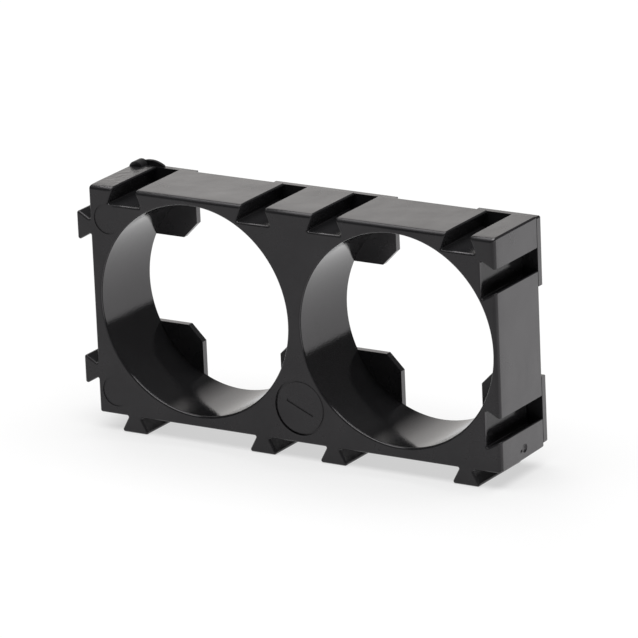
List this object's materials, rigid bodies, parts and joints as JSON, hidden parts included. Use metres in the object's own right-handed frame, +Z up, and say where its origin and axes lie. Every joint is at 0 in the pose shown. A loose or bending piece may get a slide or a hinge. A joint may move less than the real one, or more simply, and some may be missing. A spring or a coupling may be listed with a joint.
{
  "type": "battery cell holder bracket",
  "caption": "Black moulded bracket with round seats side by side for cylindrical battery cells, stop plates behind them, and dovetail tabs and grooves that lock it to its neighbours.",
  "frame": {"origin": "under the middle of the whole piece, in the plane of the tips of the lower tabs", "axes": "+X along the row of cells, from the side with tabs to the side with grooves; +Y from the open front of the seats to the stop plates; +Z up, from the lower tabs to the upper grooves"},
  "size_m": [0.0418, 0.008, 0.0226],
  "materials": {
    "black_plastic": "black moulded ABS, smooth with a soft sheen"
  },
  "bodies": {
    "root": {"cell_holder": "black_plastic"}
  },
  "joints": []
}
